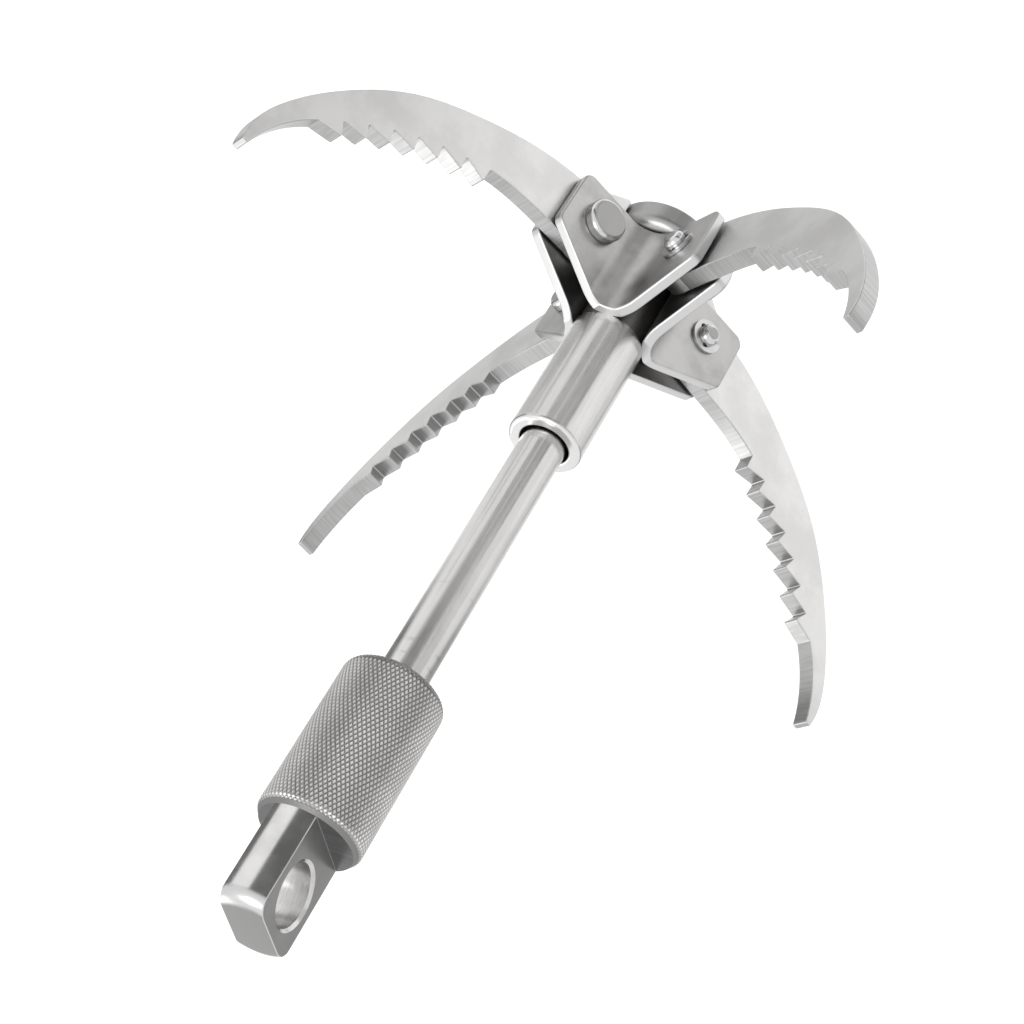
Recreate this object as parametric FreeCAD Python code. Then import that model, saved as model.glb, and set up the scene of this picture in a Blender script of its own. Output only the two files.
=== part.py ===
import FreeCAD, Part
import math
import os

# Folding grapnel, hung by the rope eye: +Z up, origin at the middle of the rope eye.
# Every length is in millimetres and every angle in degrees.

# rod, and the play of the head on it
rod_dia = 12.0
rod_in_grip = 18.0
rod_free = 80.8            # bare rod between grip and sleeve
rod_play = 0.7             # radial gap between rod and sleeve bore

# knurled grip with the rope eye turned and milled from the same bar
grip_dia = 26.0
grip_len = 43.3
grip_round = 2.6           # rim towards the sleeve
grip_taper = 1.8           # length of the slope from the knurl down to the tongue
tongue_dia = 23.4
tongue_thick = 10.5
tongue_round = 3.5
eye_dia = 14.8
eye_chamfer = 0.7
eye_to_end = 10.85
eye_to_grip = 13.85
eye_turn = 52.0            # the eye's axis, turned from the first claw

# sleeve, with a thinner hub running on between the brackets
sleeve_len = 39.7
sleeve_wall = 3.2
sleeve_round = 1.1
hub_wall = 2.5

# claws, cut from flat plate
claw_count = 4
claw_thick = 5.0
claw_reach = 86.0          # pivot to the furthest point, measured square to the rod
claw_side_gap = 0.7
claw_eye_round = 9.5
claw_tip_width = 1.7
claw_corner = 0.4          # worn corners of the cut outline, teeth and point
claw_edge = 0.3
lug_foot_x = 7.0           # where the lug's slope meets the back of the claw
lug_foot_y = 9.2
lug_round = 0.8
claw_heel = -80.0          # where the inner edge meets the round of the pivot eye

# curves of a claw about its pivot, as shares of its reach: x out from the rod and
# y along the rod, positive away from the eye
claw_back = [(0.250, 0.071), (0.480, -0.030), (0.674, -0.155), (0.843, -0.341), (0.957, -0.533)]
claw_point = (0.999, -0.703)
claw_end = (0.993, -0.744)
claw_hollow = (0.929, -0.605)
claw_inner = [(0.287, -0.131), (0.192, -0.119)]
tooth_centre = (-0.017, -1.209)

# saw teeth on an arc about the tooth centre
tooth_count = 7
tooth_root = 1.1256        # radii as shares of the reach
tooth_tip = 1.0786
tooth_first = 42.28
tooth_pitch = 4.45
tooth_lean = 0.9

# folded brackets, one in each quarter
plate_thick = 3.0
hub_gap = 0.05             # hub to the nearest face of a bend
flange_height = 31.0
flange_past_pivot = 11.0
flange_past_sleeve = 0.3   # level foot of a bracket past the sleeve's wall
flange_slope_rise = 12.0
flange_round = 3.0
foot_round = 1.0
seat_margin = 1.5          # stretch of a bracket left square where it seats on the sleeve
pivot_above_seat = 21.4
plate_edge = 0.6

# thrust disc at the foot of the rod, and the screw that holds it
disc_thick = 8.0
disc_round = 3.0           # rim towards the eye
disc_low_round = 1.0
disc_to_pivot = 5.7        # rim of the disc to the pivot, square to the rod
stop_gap = 0.3
seat_gap = 0.3
spigot_dia = 9.0
run_gap = 0.05             # radial running clearance of pivots and spigot
screw_dia = 6.0
screw_len = 9.0
screw_head_dia = 15.0
screw_head_height = 3.4
screw_head_round = 2.5
socket_flats = 4.0
socket_deep = 2.0

# claw pins and their retaining clips
pin_dia = 6.0
pin_head_dia = 11.6
pin_head_height = 3.3
pin_head_round = 1.3
head_to_bend = 0.8         # flat left between a pin's head and the bend
pin_tail = 3.4
pin_dome = 1.8
groove_deep = 0.7
clip_wide = 2.4
clip_thick = 0.8
clip_gap = 0.1
clip_mouth = 3.6
clip_turn = 35.0           # the mouth's angle on the pin
clip_relief = 0.95
clip_relief_out = 0.35
clip_relief_turn = 65.0    # either side of the clip's back

turned_edge = 0.5          # broken corners of the turned pieces
past = 1.0                 # how far a cutter stands past what it cuts
sharp_below = 0.5          # two faces meet sharply where their normals' cosine is less
corner_below = 0.9

# heights along the rod
grip_top_z = -eye_to_grip
grip_low_z = grip_top_z - grip_len
sleeve_top_z = grip_low_z - rod_free
seat_z = sleeve_top_z - sleeve_len
pivot_z = seat_z - pivot_above_seat
flange_low_z = seat_z - flange_height
disc_top_z = flange_low_z - seat_gap
disc_low_z = disc_top_z - disc_thick
rod_low_z = disc_top_z + seat_gap
spigot_low_z = disc_low_z - seat_gap

# distances square to the rod
rod_r = rod_dia / 2.0
bore_r = rod_r + rod_play
sleeve_r = bore_r + sleeve_wall
hub_r = bore_r + hub_wall
slot_half = claw_thick / 2.0 + claw_side_gap
bend_out_r = (hub_r + hub_gap - slot_half * math.sqrt(2.0)) / (math.sqrt(2.0) - 1.0)
bend_in_r = bend_out_r - plate_thick
bend_end = slot_half + bend_out_r
pivot_r = bend_end + head_to_bend + pin_head_dia / 2.0
disc_r = pivot_r - disc_to_pivot
flange_r = pivot_r + flange_past_pivot
plate_face = slot_half + plate_thick
groove_r = pin_dia / 2.0 - groove_deep
clip_r = groove_r + clip_wide

up = FreeCAD.Vector(0, 0, 1)
start = FreeCAD.Vector(0, 0, 0)


def polar(angle, radius, cx=0.0, cy=0.0):
    a = math.radians(angle)
    return FreeCAD.Vector(cx + radius * math.cos(a), cy + radius * math.sin(a), 0)


def line(a, b):
    return Part.LineSegment(a, b).toShape()


# start, middle and end of the arc that rounds the corner at here
def rounded_corner(before, here, after, radius):
    into = (before - here).normalize()
    out = (after - here).normalize()
    half = into.getAngle(out) / 2.0
    along = radius / math.tan(half)
    middle = here + (into + out).normalize() * (radius / math.sin(half) - radius)
    return here + into * along, middle, here + out * along


# closed outline from corners (x, y, corner radius)
def rounded_outline(corners):
    points = [FreeCAD.Vector(x, y, 0) for x, y, radius in corners]
    count = len(corners)
    ends = []
    for i in range(count):
        here = points[i]
        radius = corners[i][2]
        if radius > 0:
            ends.append(rounded_corner(points[i - 1], here, points[(i + 1) % count], radius))
        else:
            ends.append((here, None, here))
    edges = []
    for i in range(count):
        first, middle, last = ends[i]
        if middle is not None:
            edges.append(Part.Arc(first, middle, last).toShape())
        edges.append(line(last, ends[(i + 1) % count][0]))
    return Part.Face(Part.Wire(edges))


# solid of revolution about Z from a closed outline of (radius, height, corner radius)
def turned(corners):
    face = rounded_outline(corners)
    face.rotate(start, FreeCAD.Vector(1, 0, 0), 90)
    return face.revolve(start, up, 360)


def rod_solid():
    top = grip_low_z + rod_in_grip
    body = turned([
        (0, spigot_low_z, 0),
        (spigot_dia / 2.0, spigot_low_z, 0),
        (spigot_dia / 2.0, rod_low_z, 0),
        (rod_r, rod_low_z, turned_edge),
        (rod_r, top, turned_edge),
        (0, top, 0),
    ])
    hole = Part.makeCylinder(screw_dia / 2.0, screw_len + past,
                             FreeCAD.Vector(0, 0, spigot_low_z), up)
    return body.cut(hole)


def grip_solid():
    r = grip_dia / 2.0
    tongue_r = tongue_dia / 2.0
    body = turned([
        (0, grip_low_z, 0),
        (r, grip_low_z, grip_round),
        (r, grip_top_z - grip_taper, 0),
        (tongue_r, grip_top_z, 0),
        (0, grip_top_z, 0),
    ])
    tongue = turned([
        (0, grip_top_z - past, 0),
        (tongue_r, grip_top_z - past, 0),
        (tongue_r, eye_to_end, tongue_round),
        (0, eye_to_end, 0),
    ])
    slab = Part.makeBox(tongue_thick, tongue_dia, eye_to_end - grip_top_z + past)
    slab.translate(FreeCAD.Vector(-tongue_thick / 2.0, -tongue_dia / 2.0, grip_top_z - past))
    tongue = tongue.common(slab)
    hole_r = eye_dia / 2.0
    half = tongue_thick / 2.0
    eye = turned([
        (0, -half - past, 0),
        (hole_r + eye_chamfer + past, -half - past, 0),
        (hole_r, -half + eye_chamfer, 0),
        (hole_r, half - eye_chamfer, 0),
        (hole_r + eye_chamfer + past, half + past, 0),
        (0, half + past, 0),
    ])
    eye.rotate(start, FreeCAD.Vector(0, 1, 0), 90)
    shape = body.fuse(tongue).cut(eye)
    shape.rotate(start, up, eye_turn)
    socket = Part.makeCylinder(rod_r, rod_in_grip, FreeCAD.Vector(0, 0, grip_low_z), up)
    return shape.cut(socket).removeSplitter()


def sleeve_solid():
    return turned([
        (bore_r, flange_low_z, turned_edge),
        (hub_r, flange_low_z, turned_edge),
        (hub_r, seat_z, 0),
        (sleeve_r, seat_z, 0),
        (sleeve_r, sleeve_top_z, sleeve_round),
        (bore_r, sleeve_top_z, turned_edge),
    ])


def disc_solid():
    bore = spigot_dia / 2.0 + run_gap
    return turned([
        (bore, disc_low_z, turned_edge),
        (disc_r, disc_low_z, disc_low_round),
        (disc_r, disc_top_z, disc_round),
        (bore, disc_top_z, turned_edge),
    ])


def screw_solid():
    r = screw_head_dia / 2.0
    low = spigot_low_z - screw_head_height
    head = turned([
        (0, low, 0),
        (r, low, screw_head_round),
        (r, spigot_low_z, 0),
        (0, spigot_low_z, 0),
    ])
    shank = Part.makeCylinder(screw_dia / 2.0, screw_len, FreeCAD.Vector(0, 0, spigot_low_z), up)
    hexagon = Part.makePolygon([polar(60 * i, socket_flats / math.sqrt(3.0)) for i in range(7)])
    socket = Part.Face(hexagon).extrude(FreeCAD.Vector(0, 0, socket_deep + past))
    socket.translate(FreeCAD.Vector(0, 0, low - past))
    return head.fuse(shank).cut(socket).removeSplitter()


# one folded plate: two flanges square to each other with the bend towards the rod
def bracket_solid():
    a = slot_half
    b = plate_face
    c = bend_end
    diagonal = math.sqrt(0.5)
    centre = FreeCAD.Vector(c, c, 0)
    near = centre - FreeCAD.Vector(bend_out_r * diagonal, bend_out_r * diagonal, 0)
    far = centre - FreeCAD.Vector(bend_in_r * diagonal, bend_in_r * diagonal, 0)
    v = FreeCAD.Vector
    section = Part.Face(Part.Wire([
        line(v(c, a, 0), v(flange_r, a, 0)),
        line(v(flange_r, a, 0), v(flange_r, b, 0)),
        line(v(flange_r, b, 0), v(c, b, 0)),
        Part.Arc(v(c, b, 0), far, v(b, c, 0)).toShape(),
        line(v(b, c, 0), v(b, flange_r, 0)),
        line(v(b, flange_r, 0), v(a, flange_r, 0)),
        line(v(a, flange_r, 0), v(a, c, 0)),
        Part.Arc(v(a, c, 0), near, v(c, a, 0)).toShape(),
    ]))
    section.translate(v(0, 0, flange_low_z))
    plate = section.extrude(v(0, 0, flange_height))
    outline = rounded_outline([
        (0, 0, 0),
        (sleeve_r + flange_past_sleeve, 0, foot_round),
        (flange_r, flange_slope_rise, flange_round),
        (flange_r, flange_height, flange_round),
        (0, flange_height, 0),
    ])
    side = outline.extrude(v(0, 0, flange_r + past))
    side.rotate(start, v(1, 0, 0), -90)
    side.translate(v(0, 0, seat_z))
    other = side.mirror(start, v(1, -1, 0))
    plate = plate.common(side).common(other).removeSplitter()
    plate = plate.makeFillet(plate_edge, sharp_edges(plate))
    for axis in (v(0, 1, 0), v(1, 0, 0)):
        across = v(axis.y, axis.x, 0)
        foot = across * pivot_r + axis * (slot_half - past) + v(0, 0, pivot_z)
        plate = plate.cut(Part.makeCylinder(pin_dia / 2.0, plate_thick + 2.0 * past, foot, axis))
    return plate


# cosine between the two faces that meet at an edge
def bend_at(shape, edge):
    at = edge.valueAt((edge.FirstParameter + edge.LastParameter) / 2.0)
    normals = []
    for face in shape.ancestorsOfType(edge, Part.Face):
        spot = face.Surface.parameter(at)
        normals.append(face.normalAt(spot[0], spot[1]))
    return normals[0].dot(normals[1])


# edges where faces meet at an angle, leaving the seat on the sleeve square
def sharp_edges(shape):
    chosen = []
    for edge in shape.Edges:
        low = min(p.Z for p in edge.Vertexes)
        if bend_at(shape, edge) < sharp_below and low < seat_z - seat_margin:
            chosen.append(edge)
    return chosen


# point of a claw's curves at its real reach
def on_claw(point):
    return FreeCAD.Vector(point[0] * claw_reach, point[1] * claw_reach, 0)


def claw_outline():
    v = FreeCAD.Vector
    lug_x = stop_gap - disc_to_pivot
    lug_low = v(lug_x, math.sqrt(claw_eye_round ** 2 - lug_x ** 2), 0)
    lug_tip = v(lug_x, pivot_z - disc_low_z, 0)
    lug_foot = v(lug_foot_x, lug_foot_y, 0)
    lug_side, lug_crest, lug_top = rounded_corner(lug_low, lug_tip, lug_foot, lug_round)
    # lug that stops against the rim of the disc, then the back of the claw
    edges = [
        line(lug_low, lug_side),
        Part.Arc(lug_side, lug_crest, lug_top).toShape(),
        line(lug_top, lug_foot),
    ]
    back = Part.BSplineCurve()
    back.interpolate([lug_foot] + [on_claw(p) for p in claw_back + [claw_point, claw_end]])
    edges.append(back.toShape())
    # narrow blunt point
    end_out = on_claw(claw_end)
    end_in = end_out - v(claw_tip_width, 0, 0)
    edges.append(line(end_out, end_in))
    # smooth hollow from the point to the first tooth
    centre = on_claw(tooth_centre)
    root = tooth_root * claw_reach
    tip = tooth_tip * claw_reach
    here = polar(tooth_first - tooth_pitch + tooth_lean, root, centre.x, centre.y)
    edges.append(Part.Arc(end_in, on_claw(claw_hollow), here).toShape())
    # saw teeth leaning towards the rod
    for i in range(tooth_count):
        angle = tooth_first + tooth_pitch * i
        crest = polar(angle, tip, centre.x, centre.y)
        valley = polar(angle + tooth_lean, root, centre.x, centre.y)
        edges += [line(here, crest), line(crest, valley)]
        here = valley
    # inner edge to the round of the pivot eye
    heel = polar(claw_heel, claw_eye_round)
    inner = Part.BSplineCurve()
    inner.interpolate([here] + [on_claw(p) for p in claw_inner] + [heel])
    edges.append(inner.toShape())
    edges.append(Part.Arc(heel, polar(180.0, claw_eye_round), lug_low).toShape())
    return Part.Face(Part.Wire(edges))


def claw_solid():
    claw = claw_outline().extrude(FreeCAD.Vector(0, 0, claw_thick))
    claw = claw.makeFillet(claw_corner, [e for e in claw.Edges if cut_corner(claw, e)])
    claw = claw.makeFillet(claw_edge, [e for e in claw.Edges if flat_in_plate(e)])
    claw.rotate(start, FreeCAD.Vector(1, 0, 0), -90)
    claw.translate(FreeCAD.Vector(pivot_r, -claw_thick / 2.0, pivot_z))
    hole = Part.makeCylinder(pin_dia / 2.0 + run_gap, claw_thick + 2.0 * past,
                             FreeCAD.Vector(pivot_r, -claw_thick / 2.0 - past, pivot_z),
                             FreeCAD.Vector(0, 1, 0))
    return claw.cut(hole)


# edges through the plate where the outline turns a corner
def cut_corner(plate, edge):
    return not flat_in_plate(edge) and bend_at(plate, edge) < corner_below


# edges lying in one of the two flat faces of a plate extruded along Z
def flat_in_plate(edge):
    heights = [p.Point.z for p in edge.Vertexes]
    return max(heights) - min(heights) < 1e-6


# headed pin with a groove for its clip; head towards -Y
def pin_solid():
    r = pin_dia / 2.0
    groove_from = plate_face + clip_gap
    groove_to = groove_from + clip_thick + clip_gap
    tail = plate_face + pin_tail
    pin = turned([
        (0, -plate_face - pin_head_height, 0),
        (pin_head_dia / 2.0, -plate_face - pin_head_height, pin_head_round),
        (pin_head_dia / 2.0, -plate_face, turned_edge),
        (r, -plate_face, 0),
        (r, groove_from, 0),
        (groove_r, groove_from, 0),
        (groove_r, groove_to, 0),
        (r, groove_to, 0),
        (r, tail, pin_dome),
        (0, tail, 0),
    ])
    pin.rotate(start, FreeCAD.Vector(1, 0, 0), -90)
    pin.translate(FreeCAD.Vector(pivot_r, 0, pivot_z))
    return pin


# snap ring with an open mouth and two inner reliefs
def clip_solid():
    ring = Part.makeCylinder(clip_r, clip_thick)
    ring = ring.cut(Part.makeCylinder(groove_r, clip_thick))
    mouth = Part.makeBox(clip_r * 2.0, clip_mouth, clip_thick)
    mouth.translate(FreeCAD.Vector(0, -clip_mouth / 2.0, 0))
    ring = ring.cut(mouth)
    for angle in (180.0 - clip_relief_turn, 180.0 + clip_relief_turn):
        centre = polar(angle, groove_r + clip_relief_out)
        ring = ring.cut(Part.makeCylinder(clip_relief, clip_thick, centre, up))
    ring.rotate(start, up, clip_turn)
    ring.rotate(start, FreeCAD.Vector(1, 0, 0), -90)
    ring.translate(FreeCAD.Vector(pivot_r, plate_face + clip_gap, pivot_z))
    return ring


def turned_copy(shape, number):
    copy = shape.copy()
    copy.rotate(start, up, 360.0 / claw_count * number)
    return copy


parts = {
    "grip": grip_solid(),
    "rod": rod_solid(),
    "thrust_disc": disc_solid(),
    "end_screw": screw_solid(),
    "sleeve": sleeve_solid(),
}
repeats = {
    "bracket": bracket_solid(),
    "claw": claw_solid(),
    "claw_pin": pin_solid(),
    "pin_clip": clip_solid(),
}
for name, shape in repeats.items():
    for number in range(claw_count):
        parts[name + "_" + str(number + 1)] = turned_copy(shape, number)

os.makedirs("parts", exist_ok=True)
for name, shape in parts.items():
    if len(shape.Solids) == 1:
        shape = shape.Solids[0]
    shape.exportStep("parts/" + name + ".step")
    box = shape.BoundBox
    print(name, len(shape.Solids), shape.isValid(), round(shape.Volume, 1),
          round(box.ZMin, 2), round(box.ZMax, 2))
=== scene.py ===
import math
import bpy
from mathutils import Matrix, Vector


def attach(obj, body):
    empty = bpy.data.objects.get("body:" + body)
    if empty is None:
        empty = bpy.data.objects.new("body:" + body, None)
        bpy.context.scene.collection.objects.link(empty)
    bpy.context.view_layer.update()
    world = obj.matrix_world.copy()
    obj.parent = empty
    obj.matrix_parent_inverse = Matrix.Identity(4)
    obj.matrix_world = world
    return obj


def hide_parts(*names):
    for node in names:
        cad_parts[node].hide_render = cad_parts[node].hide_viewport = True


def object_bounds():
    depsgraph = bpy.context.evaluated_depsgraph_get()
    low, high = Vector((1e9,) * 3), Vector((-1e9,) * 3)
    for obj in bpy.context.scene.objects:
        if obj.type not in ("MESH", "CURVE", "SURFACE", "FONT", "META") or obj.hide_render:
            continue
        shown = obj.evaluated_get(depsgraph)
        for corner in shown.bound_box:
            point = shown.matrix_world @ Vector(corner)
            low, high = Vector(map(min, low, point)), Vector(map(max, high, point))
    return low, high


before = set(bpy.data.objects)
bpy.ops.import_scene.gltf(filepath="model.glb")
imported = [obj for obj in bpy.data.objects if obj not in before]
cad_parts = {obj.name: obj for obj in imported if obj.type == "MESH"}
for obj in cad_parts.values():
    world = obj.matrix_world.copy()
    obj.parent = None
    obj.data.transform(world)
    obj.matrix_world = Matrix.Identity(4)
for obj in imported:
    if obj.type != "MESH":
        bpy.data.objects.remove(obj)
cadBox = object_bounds()
print("frame loaded:", len(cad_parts), "pieces")

mm = 0.001
hair = 0.01 * mm
quarterTurn = math.radians(90)

cameraLook = {
    "lens": 76.26,
    "shift": (0.0058, -0.0034),
    "place": (0.17475, -0.39567, 0.18712),
    "right": (-0.6617, -0.6178, -0.4249),
    "up": (0.6726, -0.2387, -0.7004),
}


def makeCamera():
    data = bpy.data.cameras.new("camera")
    data.lens = cameraLook["lens"]
    data.shift_x, data.shift_y = cameraLook["shift"]
    data.clip_start = 0.01
    camera = bpy.data.objects.new("camera", data)
    bpy.context.scene.collection.objects.link(camera)
    right = Vector(cameraLook["right"]).normalized()
    back = right.cross(Vector(cameraLook["up"])).normalized()
    turn = Matrix((right, back.cross(right), back)).transposed()
    camera.matrix_world = Matrix.Translation(cameraLook["place"]) @ turn.to_4x4()
    bpy.context.scene.camera = camera


makeCamera()


# a socket that takes part in sums
class Wire:
    def __init__(self, recipe, socket):
        self.recipe = recipe
        self.socket = socket

    def maths(self, operation, *values):
        settings = {"operation": operation}
        return self.recipe.node("ShaderNodeMath", settings, dict(enumerate(values)))

    def __add__(self, other):
        return self.maths("ADD", self, other)

    __radd__ = __add__

    def __sub__(self, other):
        return self.maths("SUBTRACT", self, other)

    def __rsub__(self, other):
        return self.maths("SUBTRACT", other, self)

    def __mul__(self, other):
        return self.maths("MULTIPLY", self, other)

    __rmul__ = __mul__

    def __truediv__(self, other):
        return self.maths("DIVIDE", self, other)

    def __pow__(self, other):
        return self.maths("POWER", self, other)

    def __abs__(self):
        return self.maths("ABSOLUTE", self)

    def higher(self, other):
        return self.maths("MAXIMUM", self, other)

    # 0 below low, 1 above high, with a soft step between
    def step(self, low, high):
        settings = {"interpolation_type": "SMOOTHSTEP"}
        return self.recipe.node("ShaderNodeMapRange", settings, {0: self, 1: low, 2: high})


# one material, written as sums of wires
class Recipe:
    def __init__(self, name):
        self.material = bpy.data.materials.new(name)
        self.material.use_nodes = True
        self.tree = self.material.node_tree
        self.tree.nodes.clear()
        self.shader = self.tree.nodes.new("ShaderNodeBsdfPrincipled")
        output = self.tree.nodes.new("ShaderNodeOutputMaterial")
        self.tree.links.new(self.shader.outputs[0], output.inputs[0])
        self.place = self.node("ShaderNodeTexCoord", output="Object")
        self.facing = self.node("ShaderNodeTexCoord", output="Normal")

    def node(self, kind, settings=None, values=None, output=0):
        made = self.tree.nodes.new(kind)
        for name, value in (settings or {}).items():
            setattr(made, name, value)
        for name, value in (values or {}).items():
            self.feed(made.inputs[name], value)
        return Wire(self, made.outputs[output])

    def feed(self, socket, value):
        if isinstance(value, Wire):
            self.tree.links.new(value.socket, socket)
        else:
            socket.default_value = value

    def set(self, **values):
        for name, value in values.items():
            self.feed(self.shader.inputs[name.replace("_", " ")], value)

    # how far the vector goes in a direction; the vector is the place on the piece where none is given
    def along(self, direction, vector=None):
        values = {0: vector or self.place, 1: direction}
        return self.node("ShaderNodeVectorMath", {"operation": "DOT_PRODUCT"}, values, "Value")

    def join(self, x, y, z):
        return self.node("ShaderNodeCombineXYZ", None, {0: x, 1: y, 2: z})

    def noise(self, vector, scale, detail=3.0, roughness=0.5):
        values = {"Vector": vector, "Scale": scale, "Detail": detail, "Roughness": roughness}
        return self.node("ShaderNodeTexNoise", None, values)

    def mix(self, amount, first, second):
        return self.node("ShaderNodeMix", {"data_type": "RGBA"}, {0: amount, 6: first, 7: second}, 2)

    # grain that is distance metres deep, on top of another bump where one is given
    def bump(self, height, distance, under=None):
        values = {"Height": height, "Distance": distance, "Strength": 1.0}
        if under:
            values["Normal"] = under
        return self.node("ShaderNodeBump", None, values)


def grey(level, warmth=0.0):
    return (level * (1 + warmth), level, level * (1 - warmth), 1.0)


def dress(name, *materials):
    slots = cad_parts[name].material_slots
    for slot, material in zip(slots, materials):
        slot.material = material


turnedFinish = {
    "light": grey(0.60, 0.012),
    "dark": grey(0.51, 0.012),
    # tone of the end faces, a painted highlight
    "edge": grey(0.80),
    "mark": grey(0.25, 0.02),
    # tone of the dull part, painted darker as shade
    "dullShade": grey(0.30, 0.02),
    # painted shade tone
    "shadeTone": grey(0.1),
    "roughness": 0.22,
    "dullRoughness": 0.15,
    "ringsPerMetre": 2600,
    "streakScale": 9,
}


# bar and tube worked on a lathe: fine rings round Z and faint lengthwise streaks; marks are the height and
# width of darker rings;
# end faces get a painted highlight, below the height given the piece is dull and painted darker as shade,
# and the amount given darkens all of it as painted shade
def turnedSteel(name, marks=(), roughness=0.0, dullShadeBelow=None, paintedShade=0.0):
    recipe = Recipe(name)
    x = recipe.along((1, 0, 0))
    y = recipe.along((0, 1, 0))
    z = recipe.along((0, 0, 1))
    radius = (x * x + y * y) ** 0.5
    across = recipe.join(x / radius, y / radius, z * 4)
    rings = recipe.noise(recipe.join(x * 60, y * 60, z * turnedFinish["ringsPerMetre"]), 1.0, 4.0)
    faceRings = recipe.noise(recipe.join(radius * turnedFinish["ringsPerMetre"], x * 30, y * 30), 1.0, 3.0)
    streaks = recipe.noise(across, turnedFinish["streakScale"], 4.0, 0.6)
    clouds = recipe.noise(recipe.place, 90.0, 4.0, 0.6)
    paintedEnds = abs(recipe.along((0, 0, 1), recipe.facing)).step(0.25, 0.75)
    tone = (streaks * 0.55 + clouds * 0.45).step(0.35, 0.68)
    colour = recipe.mix(tone, turnedFinish["dark"], turnedFinish["light"])
    for height, width in marks:
        ring = 1 - abs(z - height).step(width * 0.3, width)
        patchy = recipe.noise(across, 2.0, 2.0).step(0.38, 0.62)
        colour = recipe.mix(ring * patchy * 0.4, colour, turnedFinish["mark"])
    # end faces painted brighter: a painted highlight
    colour = recipe.mix(paintedEnds * 0.7, colour, turnedFinish["edge"])
    # painted shade: darkens the whole piece, standing for the dark surroundings it reflects
    colour = recipe.mix(paintedShade, colour, turnedFinish["shadeTone"])
    base = turnedFinish["roughness"] + roughness
    if dullShadeBelow:
        # below the given height the colour is painted darker as shade, and the roughness rises
        dullShade = 1 - z.step(dullShadeBelow - 10 * hair, dullShadeBelow)
        colour = recipe.mix(dullShade, colour, turnedFinish["dullShade"])
        base = dullShade * turnedFinish["dullRoughness"] + base
    recipe.set(Metallic=1.0, Base_Color=colour)
    recipe.set(Roughness=(streaks - 0.5) * 0.14 + (clouds - 0.5) * 0.18 + base)
    turning = rings * (1 - paintedEnds) + faceRings * paintedEnds
    waves = recipe.bump(recipe.noise(recipe.place, 70.0, 1.0), 0.00006)
    recipe.set(Normal=recipe.bump(turning, 0.000004, waves))
    return recipe.material


plateFinish = {
    "light": grey(0.45, 0.012),
    "dark": grey(0.33, 0.015),
    "edge": grey(0.60),
    "roughness": 0.34,
    "edgeRoughness": 0.34,
}


# folded sheet, tumbled: cloudy satin faces and bright cut edges
def plateSteel(name):
    recipe = Recipe(name)
    x = abs(recipe.along((1, 0, 0)))
    y = abs(recipe.along((0, 1, 0)))
    facingX = abs(recipe.along((1, 0, 0), recipe.facing))
    facingY = abs(recipe.along((0, 1, 0), recipe.facing))
    facingZ = abs(recipe.along((0, 0, 1), recipe.facing))
    onX = (x - y).step(0.004, 0.006)
    onY = (y - x).step(0.004, 0.006)
    outer = (facingX * onX).higher(facingY * onY).step(0.80, 0.95)
    edge = facingZ.step(0.25, 0.6).higher(outer)
    clouds = recipe.noise(recipe.place, 130.0, 5.0, 0.6)
    patches = recipe.noise(recipe.place, 45.0, 2.0)
    grain = recipe.noise(recipe.place, 3200.0, 3.0, 0.6)
    tone = (clouds * 0.6 + patches * 0.4).step(0.36, 0.62)
    colour = recipe.mix(tone, plateFinish["dark"], plateFinish["light"])
    colour = recipe.mix(edge, colour, plateFinish["edge"])
    roughness = plateFinish["roughness"] + (clouds - 0.5) * 0.3
    recipe.set(Metallic=1.0, Base_Color=colour)
    recipe.set(Roughness=roughness * (1 - edge) + edge * plateFinish["edgeRoughness"])
    softened = recipe.bump(clouds, 0.00005)
    recipe.set(Normal=recipe.bump(grain, 0.000006, softened))
    return recipe.material


clawFinish = {
    "light": grey(0.66, 0.008),
    "dark": grey(0.56, 0.010),
    "edge": grey(0.48),
    "edgeLine": grey(0.38, 0.01),
    "roughness": 0.34,
    "cutLinesPerMetre": 1500,
}


# flat plate: tumbled faces, and a cut rim with fine lines across the plate's thickness
def clawSteel(name, angle):
    recipe = Recipe(name)
    out = recipe.along((math.cos(angle), math.sin(angle), 0))
    sideways = (-math.sin(angle), math.cos(angle), 0)
    through = recipe.along(sideways)
    up = recipe.along((0, 0, 1))
    flat = abs(recipe.along(sideways, recipe.facing)).step(0.55, 0.9)
    local = recipe.join(out, through, up)
    lines = clawFinish["cutLinesPerMetre"]
    cuts = recipe.noise(recipe.join(out * lines, through * 60, up * lines), 1.0, 3.0)
    clouds = recipe.noise(local, 60.0, 4.0, 0.6)
    grain = recipe.noise(local, 3000.0, 4.0, 0.65)
    colour = recipe.mix(clouds.step(0.35, 0.65), clawFinish["dark"], clawFinish["light"])
    rim = recipe.mix(cuts.step(0.3, 0.7), clawFinish["edgeLine"], clawFinish["edge"])
    recipe.set(Metallic=1.0, Base_Color=recipe.mix(flat, rim, colour))
    recipe.set(Roughness=clawFinish["roughness"] + (clouds - 0.5) * 0.25 + (grain - 0.5) * 0.15)
    height = grain * flat * 0.6 + cuts * (1 - flat) * 0.7
    recipe.set(Normal=recipe.bump(height, 0.00001))
    return recipe.material


pinFinish = {
    "face": grey(0.30, 0.01),
    "bright": grey(0.62),
    "faceRoughness": 0.30,
    "brightRoughness": 0.2,
}


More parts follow.
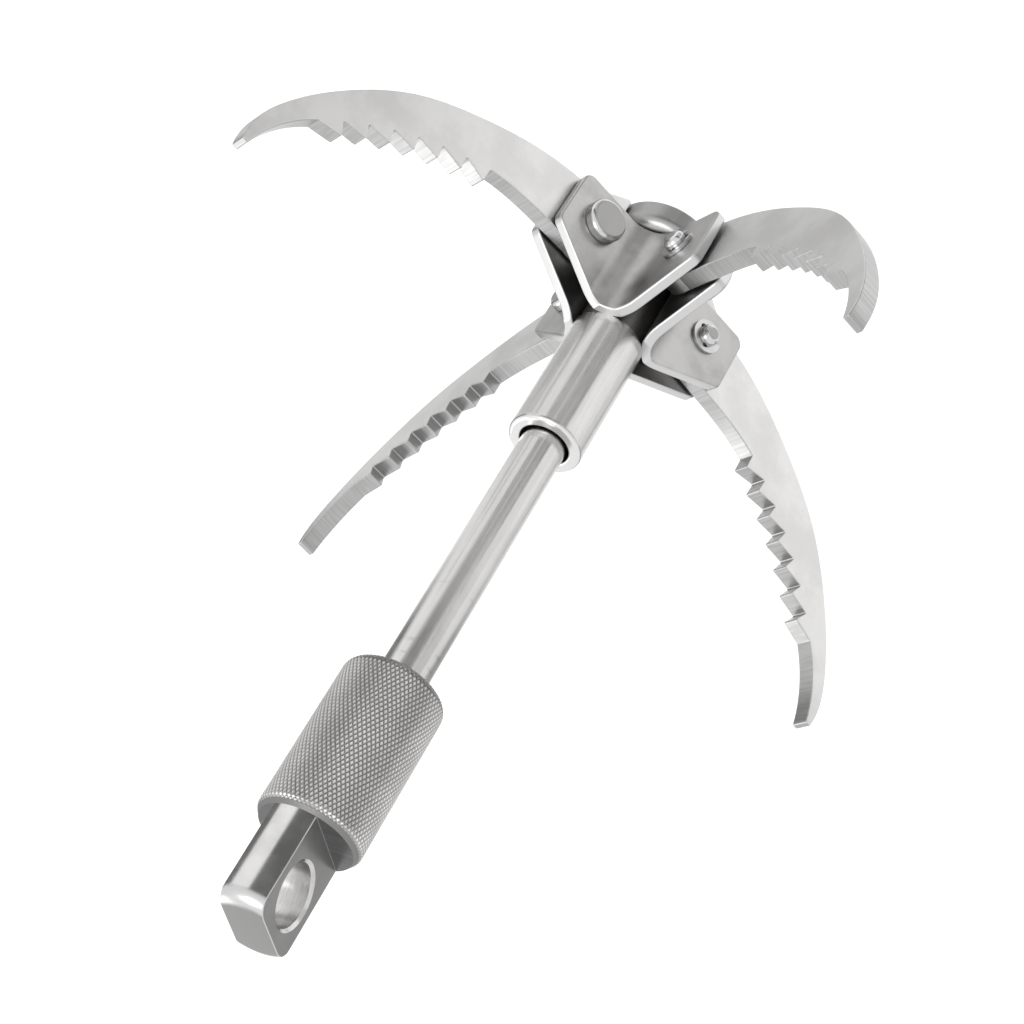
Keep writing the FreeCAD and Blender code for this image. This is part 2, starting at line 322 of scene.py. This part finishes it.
# turned and polished, with the flat of the head left satin
def pinSteel(name, angle):
    recipe = Recipe(name)
    flat = abs(recipe.along((-math.sin(angle), math.cos(angle), 0), recipe.facing)).step(0.93, 0.985)
    clouds = recipe.noise(recipe.place, 260.0, 4.0, 0.6)
    grain = recipe.noise(recipe.place, 3500.0, 3.0)
    recipe.set(Metallic=1.0, Base_Color=recipe.mix(flat, pinFinish["bright"], pinFinish["face"]))
    rough = flat * (pinFinish["faceRoughness"] - pinFinish["brightRoughness"])
    recipe.set(Roughness=rough + pinFinish["brightRoughness"] + (clouds - 0.5) * 0.12)
    recipe.set(Normal=recipe.bump(grain * flat + clouds * 0.2, 0.000005))
    return recipe.material


springFinish = {"light": grey(0.62), "dark": grey(0.45), "roughness": 0.26}


# thin punched spring sheet
def springSteel(name):
    recipe = Recipe(name)
    grain = recipe.noise(recipe.place, 1800.0, 3.0)
    clouds = recipe.noise(recipe.place, 400.0, 2.0)
    recipe.set(Metallic=1.0, Base_Color=recipe.mix(clouds, springFinish["dark"], springFinish["light"]))
    recipe.set(Roughness=grain * 0.1 + springFinish["roughness"], Normal=recipe.bump(grain, 0.000002))
    return recipe.material


screwFinish = {
    "head": grey(0.70, 0.01),
    # painted shade in the socket recess
    "socket": grey(0.25),
    "socketRadius": (1.8 * mm, 2.4 * mm),
    "roughness": 0.14,
    "ringsPerMetre": 3000,
}


# bright screw head with painted shade in the socket
def screwSteel(name):
    recipe = Recipe(name)
    x = recipe.along((1, 0, 0))
    y = recipe.along((0, 1, 0))
    radius = (x * x + y * y) ** 0.5
    rings = recipe.noise(recipe.join(radius * screwFinish["ringsPerMetre"], x * 40, y * 40), 1.0, 3.0)
    # the socket is painted dark: painted shade in the recess
    onHead = radius.step(*screwFinish["socketRadius"])
    recipe.set(Metallic=1.0, Base_Color=recipe.mix(onHead, screwFinish["socket"], screwFinish["head"]))
    recipe.set(Roughness=rings * 0.12 + screwFinish["roughness"])
    recipe.set(Normal=recipe.bump(rings, 0.000004))
    return recipe.material


rod = {"marks": ((-63.3 * mm, 0.4 * mm), (-67.3 * mm, 0.6 * mm), (-85.3 * mm, 0.3 * mm))}
# the sleeve is painted darker as shade below this height
sleeve = {"dullShadeBelow": -177.75 * mm}
# the disc is painted half way to the shade tone, as painted shade
disc = {"roughness": 0.12, "paintedShade": 0.5}


def dressCadPieces():
    dress("rod", turnedSteel("rodSteel", **rod))
    dress("sleeve", turnedSteel("sleeveSteel", **sleeve))
    dress("thrust_disc", turnedSteel("discSteel", **disc))
    dress("end_screw", screwSteel("screwSteel"))
    plate = plateSteel("bracketSteel")
    spring = springSteel("clipSteel")
    for number in range(1, 5):
        angle = quarterTurn * (number - 1)
        dress("bracket_" + str(number), plate)
        dress("pin_clip_" + str(number), spring)
        dress("claw_" + str(number), clawSteel("clawSteel" + str(number), angle))
        dress("claw_pin_" + str(number), pinSteel("pinSteel" + str(number), angle))


dressCadPieces()
print("CAD pieces dressed")


# names the new piece and leaves it unturned and unscaled about the origin
def nameActive(name):
    piece = bpy.context.object
    piece.name = name
    piece.data.name = name
    bpy.ops.object.transform_apply(location=True, rotation=True, scale=True)
    return piece


# leaves only what passes the test selected; the test gets a corner, an edge's two corners or a face
def pick(piece, kind, test):
    bpy.ops.object.mode_set(mode="EDIT")
    bpy.ops.mesh.select_mode(type=kind)
    bpy.ops.mesh.select_all(action="DESELECT")
    bpy.ops.object.mode_set(mode="OBJECT")
    mesh = piece.data
    if kind == "VERT":
        for vertex in mesh.vertices:
            vertex.select = test(vertex.co)
    elif kind == "EDGE":
        for edge in mesh.edges:
            edge.select = test(*[mesh.vertices[i].co for i in edge.vertices])
    else:
        for face in mesh.polygons:
            face.select = test(face)
    bpy.ops.object.mode_set(mode="EDIT")


def finishEdit():
    bpy.ops.object.mode_set(mode="OBJECT")


def applyBoolean(piece, other, operation):
    bpy.ops.object.select_all(action="DESELECT")
    piece.select_set(True)
    bpy.context.view_layer.objects.active = piece
    modifier = piece.modifiers.new("join", "BOOLEAN")
    modifier.object = other
    modifier.operation = operation
    modifier.solver = "EXACT"
    bpy.ops.object.modifier_apply(modifier=modifier.name)
    bpy.data.objects.remove(other)


# taper is the slope down to the tongue, foot the rounding of the end towards the rod
grip = {
    "radius": 13.0 * mm,
    "top": -13.85 * mm,
    "length": 43.3 * mm,
    "taper": 1.8 * mm,
    "taperRows": 3,
    "foot": 2.6 * mm,
    "footRows": 4,
    "diamondsAround": 70,
    "straightRows": 39,
    "depth": 0.34 * mm,
    "rodRadius": 6.0 * mm,
    "rodHole": 18.0 * mm,
    "crestLight": grey(0.78, 0.01),
    "crestDark": grey(0.66, 0.01),
    # painted shade in the knurl grooves
    "groove": grey(0.22, 0.02),
    # painted shade on the slope
    "taperShade": grey(0.24, 0.01),
    "roughness": 0.34,
}

# rootDepth is the stretch of it inside the grip, turn the way its flats face
tongue = {
    "radius": 11.7 * mm,
    "thickness": 10.5 * mm,
    "end": 10.85 * mm,
    "endRound": 3.5 * mm,
    "rootDepth": 2.0 * mm,
    "sides": 96,
    "turn": math.radians(52),
    "eyeRadius": 7.4 * mm,
    "chamfer": 0.7 * mm,
    "edge": 0.3 * mm,
    "sideTones": (grey(0.52, 0.01), grey(0.62, 0.01)),
    # flat tones darkened as painted shade
    "flatShadeTones": (grey(0.38, 0.01), grey(0.50, 0.01)),
    "eyeTones": (grey(0.42, 0.02), grey(0.80, 0.01)),
    # painted shade on the shoulder beside the flats
    "rootShadeTones": (grey(0.06), grey(0.20)),
    # painted highlight of the end band
    "roundingHighlight": grey(0.60),
    # painted highlight at the foot of the flats
    "rootHighlight": grey(0.95),
    # painted shade on the end face
    "topFaceShade": grey(0.27, 0.01),
    "roughness": 0.17,
}


# bright crests over grooves painted dark as shade, running out on the slope to a dark satin tone that is
# painted shade
def knurlFinish():
    recipe = Recipe("knurledSteel")
    x = recipe.along((1, 0, 0))
    y = recipe.along((0, 1, 0))
    radius = (x * x + y * y) ** 0.5
    slope = (grip["radius"] - tongue["radius"]) / grip["taper"]
    onTaper = (recipe.along((0, 0, 1)) - (grip["top"] - grip["taper"])).higher(0)
    crest = (radius + onTaper * slope).step(grip["radius"] - grip["depth"], grip["radius"])
    clouds = recipe.noise(recipe.place, 120.0, 4.0, 0.6)
    grain = recipe.noise(recipe.place, 2500.0, 3.0)
    metal = recipe.mix(clouds.step(0.35, 0.65), grip["crestDark"], grip["crestLight"])
    # grooves painted dark: painted shade in the recesses
    colour = recipe.mix(crest ** 0.7, grip["groove"], metal)
    # the slope painted dark: painted shade
    fading = onTaper.step(0, grip["taper"] * 0.5)
    recipe.set(Metallic=1.0, Base_Color=recipe.mix(fading, colour, grip["taperShade"]))
    recipe.set(Roughness=grip["roughness"] + (grain - 0.5) * 0.15 - crest * 0.06 + fading * 0.2)
    recipe.set(Normal=recipe.bump(grain, 0.000012))
    return recipe.material


def extrudeCap(rise, scale):
    bpy.ops.mesh.extrude_region_move(TRANSFORM_OT_translate={"value": (0, 0, rise)})
    bpy.ops.transform.resize(value=(scale, scale, 1), center_override=(0, 0, 0))


# one more ring of corners on the selected end; gives back its height
def addRing(ring, height, radius):
    extrudeCap(height - ring[0], radius / ring[1])
    ring[:] = [height, radius]
    return height


# bare grip: straight side, sloping end towards the eye, rounded foot and hole for the rod
def makeGripBody():
    high = grip["top"] - grip["taper"]
    low = grip["top"] - grip["length"] + grip["foot"]
    bpy.ops.object.select_all(action="DESELECT")
    bpy.ops.mesh.primitive_cylinder_add(vertices=2 * grip["diamondsAround"], radius=grip["radius"],
                                        depth=high - low, location=(0, 0, (high + low) / 2))
    body = nameActive("knurledGrip")
    pick(body, "EDGE", lambda a, b: abs(a.z - b.z) > grip["radius"])
    bpy.ops.mesh.subdivide(number_cuts=grip["straightRows"] - 1)
    rowHeight = (high - low) / grip["straightRows"]
    straight = [high - rowHeight * row for row in range(grip["straightRows"] + 1)]
    pick(body, "FACE", lambda face: face.normal.z > 0.9)
    ring = [high, grip["radius"]]
    above = []
    for row in range(1, grip["taperRows"] + 1):
        share = row / (grip["taperRows"] + 1)
        radius = grip["radius"] + (tongue["radius"] - grip["radius"]) * share
        above.append(addRing(ring, high + grip["taper"] * share, radius))
    addRing(ring, grip["top"], tongue["radius"] * 1.0005)
    finishEdit()
    pick(body, "FACE", lambda face: face.normal.z < -0.9 and len(face.vertices) > 4)
    ring = [low, grip["radius"]]
    below = []
    for row in range(1, grip["footRows"] + 1):
        turn = row * quarterTurn / (grip["footRows"] + 0.5)
        radius = grip["radius"] - grip["foot"] * (1 - math.cos(turn))
        below.append(addRing(ring, low - grip["foot"] * math.sin(turn), radius))
    addRing(ring, low - grip["foot"], grip["radius"] - grip["foot"])
    addRing(ring, low - grip["foot"], grip["rodRadius"])
    addRing(ring, low - grip["foot"] + grip["rodHole"], grip["rodRadius"])
    finishEdit()
    return body, above[::-1] + straight + below


# every second corner goes down to make the grooves, fading out at both ends
def makeKnurl():
    knurl, rowHeights = makeGripBody()
    step = math.pi / grip["diamondsAround"]
    last = len(rowHeights) - 1
    inner = grip["radius"] - grip["foot"]
    for row, rowZ in enumerate(rowHeights):
        fade = min(1.0, (last - row + 0.6) / grip["footRows"], (row + 1) / (grip["taperRows"] + 2))

        def groove(corner):
            around = round(math.atan2(corner.y, corner.x) / step)
            onRow = abs(corner.z - rowZ) < 2 * hair and corner.xy.length > inner * 1.001
            return onRow and (around + row) % 2 == 1

        pick(knurl, "VERT", groove)
        factor = 1 - grip["depth"] * fade / grip["radius"]
        bpy.ops.transform.resize(value=(factor, factor, 1), center_override=(0, 0, 0))
        finishEdit()
    pick(knurl, "FACE", lambda face: len(face.vertices) == 4 and face.center.xy.length > inner)
    bpy.ops.mesh.quads_convert_to_tris(quad_method="SHORTEST_DIAGONAL")
    finishEdit()
    return knurl


# polished round side and end, milled flats, and a bright bored eye; the end band carries a painted
# highlight, the flats, end face and shoulder painted shade, and the foot of the flats a painted highlight
def tongueFinish():
    recipe = Recipe("tongueSteel")
    turn = tongue["turn"]
    flatWay = (math.cos(turn), math.sin(turn), 0)
    through = recipe.along(flatWay)
    across = recipe.along((-math.sin(turn), math.cos(turn), 0))
    z = recipe.along((0, 0, 1))
    flat = abs(recipe.along(flatWay, recipe.facing)).step(0.9, 0.99)
    fromEye = (across * across + z * z) ** 0.5
    inEye = 1 - fromEye.step(tongue["eyeRadius"] * 1.005, tongue["eyeRadius"] * 1.015)
    millLines = recipe.noise(recipe.join(through * 60, across * 1800, z * 70), 1.0, 4.0)
    turnLines = recipe.noise(recipe.join(through * 40, across * 40, z * 2600), 1.0, 4.0)
    boreLines = recipe.noise(recipe.join(through * 2200, across * 300, z * 300), 1.0, 3.0)
    clouds = recipe.noise(recipe.place, 150.0, 4.0, 0.6)
    # band by the rounded end, painted brighter: a painted highlight
    roundingHighlight = z.step(tongue["end"] - tongue["endRound"] * 1.1, tongue["end"] - tongue["endRound"] * 0.8)
    side = recipe.mix(clouds.step(0.35, 0.65), *tongue["sideTones"])
    side = recipe.mix(roundingHighlight, side, tongue["roundingHighlight"])
    # flats painted darker than the round side: painted shade
    metal = recipe.mix(flat, side, recipe.mix(clouds, *tongue["flatShadeTones"]))
    metal = recipe.mix(inEye, metal, recipe.mix(boreLines, *tongue["eyeTones"]))
    # a thin band at the foot of the flats is painted near white: a painted highlight
    root = 1 - (z - grip["top"]).step(12 * hair, 18 * hair)
    metal = recipe.mix(flat * root, metal, tongue["rootHighlight"])
    # up-facing faces painted dark: painted shade on the end face, near black on the shoulder beside the
    # flats
    topFaceShade = recipe.along((0, 0, 1), recipe.facing).step(0.9, 0.99)
    paintedEnds = recipe.mix(root, tongue["topFaceShade"], recipe.mix(millLines, *tongue["rootShadeTones"]))
    recipe.set(Metallic=1.0, Base_Color=recipe.mix(topFaceShade, metal, paintedEnds))
    soft = flat * 0.13 + topFaceShade * 0.15 + inEye * 0.1 + roundingHighlight * (1 - flat) * (1 - topFaceShade) * 0.15
    recipe.set(Roughness=tongue["roughness"] + soft + (clouds - 0.5) * 0.15)
    height = millLines * flat + turnLines * (1 - flat) * (1 - inEye) + boreLines * inEye * 4
    recipe.set(Normal=recipe.bump(height, 0.000005))
    return recipe.material


# round bar with a rounded end, cut down to two flats and bored for the rope
def makeTongue():
    bpy.ops.object.select_all(action="DESELECT")
    low = grip["top"] - tongue["rootDepth"]
    depth = tongue["end"] - low
    bpy.ops.mesh.primitive_cylinder_add(vertices=tongue["sides"], radius=tongue["radius"], depth=depth,
                                        location=(0, 0, low + depth / 2))
    piece = nameActive("tongue")
    pick(piece, "EDGE", lambda a, b: min(a.z, b.z) > tongue["end"] - hair)
    bpy.ops.mesh.bevel(offset=tongue["endRound"], segments=10, affect="EDGES")
    flatWay = Vector((math.cos(tongue["turn"]), math.sin(tongue["turn"]), 0))
    for side in (-1, 1):
        bpy.ops.mesh.select_all(action="SELECT")
        bpy.ops.mesh.bisect(plane_co=flatWay * side * tongue["thickness"] / 2, plane_no=flatWay * side,
                            use_fill=True, clear_outer=True)
    finishEdit()
    applyBoolean(piece, makeEyeCutter(flatWay), "DIFFERENCE")
    bevel = piece.modifiers.new("worn edges", "BEVEL")
    bevel.width = tongue["edge"]
    bevel.segments = 1
    bevel.limit_method = "ANGLE"
    bevel.angle_limit = math.radians(50)
    bpy.ops.object.modifier_apply(modifier=bevel.name)
    return piece


# a plain pin with flared ends, which leaves the hole with a chamfer on both faces
def makeEyeCutter(flatWay):
    bpy.ops.object.select_all(action="DESELECT")
    depth = tongue["thickness"] - 2 * tongue["chamfer"]
    flare = tongue["chamfer"] + 1.0 * mm
    scale = 1 + flare / tongue["eyeRadius"]
    bpy.ops.mesh.primitive_cylinder_add(vertices=tongue["sides"], radius=tongue["eyeRadius"], depth=depth)
    cutter = nameActive("eyeCutter")
    for side in (-1, 1):
        pick(cutter, "FACE", lambda face: face.normal.z * side > 0.9)
        extrudeCap(side * flare, scale)
        finishEdit()
    cutter.rotation_mode = "QUATERNION"
    cutter.rotation_quaternion = flatWay.to_track_quat("Z", "Y")
    bpy.ops.object.transform_apply(location=False, rotation=True, scale=False)
    return cutter


def makeGrip():
    knurl = makeKnurl()
    applyBoolean(knurl, makeTongue(), "UNION")
    knurl.data.materials.append(knurlFinish())
    knurl.data.materials.append(tongueFinish())
    pick(knurl, "FACE", lambda face: face.center.z > grip["top"] - hair)
    knurl.active_material_index = 1
    bpy.ops.object.material_slot_assign()
    finishEdit()
    bpy.ops.object.shade_smooth_by_angle(angle=math.radians(24))
    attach(knurl, "handle")
    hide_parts("grip")


makeGrip()
print("grip knurled, with its rope eye")

studio = {
    "floorDrop": 0.30,
    "floorSize": 12.0,
    "floorTone": 0.97,
    "worldPower": 1.06,
    "cardLift": 0.004,
}

# place, power in watts, size; each shines straight down
softboxes = {
    "key": ((0.9, -0.5, 1.3), 10, 0.9),
    "rear": ((0.2, 1.3, 0.9), 6, 1.0),
}

# cards lying round the object, seen only in its gloss: direction and width in degrees, brightness,
# near and far ends
cards = {
    "left": (175, 50, 1.05, 0.10, 0.62),
    "bright": (-120, 58, 1.35, 0.10, 0.62),
    "dark": (-72, 34, 0.60, 0.10, 0.62),
    "dim": (-39, 24, 0.62, 0.10, 0.62),
    "warm": (-5, 36, 1.25, 0.10, 0.62),
    "far": (50, 64, 0.72, 0.10, 0.52),
    "tongueLeft": (170, 70, 0.50, 0.68, 4.0),
    "tongueFront": (-106, 42, 0.80, 0.68, 4.0),
    "tongueDark": (-50, 60, 0.20, 0.68, 4.0),
    "tongueRight": (62, 76, 0.24, 0.68, 4.0),
}


def makeFloor():
    bpy.ops.object.select_all(action="DESELECT")
    bpy.ops.mesh.primitive_plane_add(size=studio["floorSize"],
                                     location=(0, 0, cadBox[0].z - studio["floorDrop"]))
    floor = nameActive("floor")
    recipe = Recipe("floorPaint")
    clouds = recipe.noise(recipe.place, 3.0, 2.0)
    tone = studio["floorTone"]
    recipe.set(Base_Color=recipe.mix(clouds, grey(tone), grey(tone * 0.98)), Roughness=0.7)
    floor.data.materials.append(recipe.material)


# a wedge of card that glows by its brightness; it lights and shades nothing else
def makeCard(name, direction, width, brightness, near, far):
    bpy.ops.object.select_all(action="DESELECT")
    bpy.ops.mesh.primitive_plane_add(size=1, location=(0, 0, 0))
    card = nameActive(name + "Card")
    spread = 2 * math.tan(math.radians(width / 2))
    for side, end in ((1, far), (-1, near)):
        pick(card, "VERT", lambda corner: corner.x * side > 0.4)
        bpy.ops.transform.resize(value=(1, spread * end, 1), center_override=(0, 0, 0))
        bpy.ops.transform.translate(value=(end - side * 0.5, 0, 0))
        finishEdit()
    card.rotation_euler.z = math.radians(direction)
    card.location.z = cadBox[0].z - studio["floorDrop"] + studio["cardLift"]
    bpy.ops.object.transform_apply(location=True, rotation=True, scale=True)
    recipe = Recipe(name + "Card")
    recipe.set(Base_Color=grey(0), Emission_Color=grey(1), Emission_Strength=brightness)
    recipe.set(Specular_IOR_Level=0)
    card.data.materials.append(recipe.material)
    card.visible_camera = False
    card.visible_diffuse = False
    card.visible_shadow = False


def makeLights():
    for name, (place, power, size) in softboxes.items():
        data = bpy.data.lights.new(name, "AREA")
        data.energy = power
        data.size = size
        light = bpy.data.objects.new(name, data)
        light.location = place
        bpy.context.scene.collection.objects.link(light)
    world = bpy.data.worlds.new("studio")
    world.use_nodes = True
    background = world.node_tree.nodes["Background"]
    background.inputs["Color"].default_value = grey(1)
    background.inputs["Strength"].default_value = studio["worldPower"]
    bpy.context.scene.world = world
    bpy.context.scene.view_settings.view_transform = "Standard"


makeFloor()
for name, layout in cards.items():
    makeCard(name, *layout)
makeLights()
print("floor and lights set")
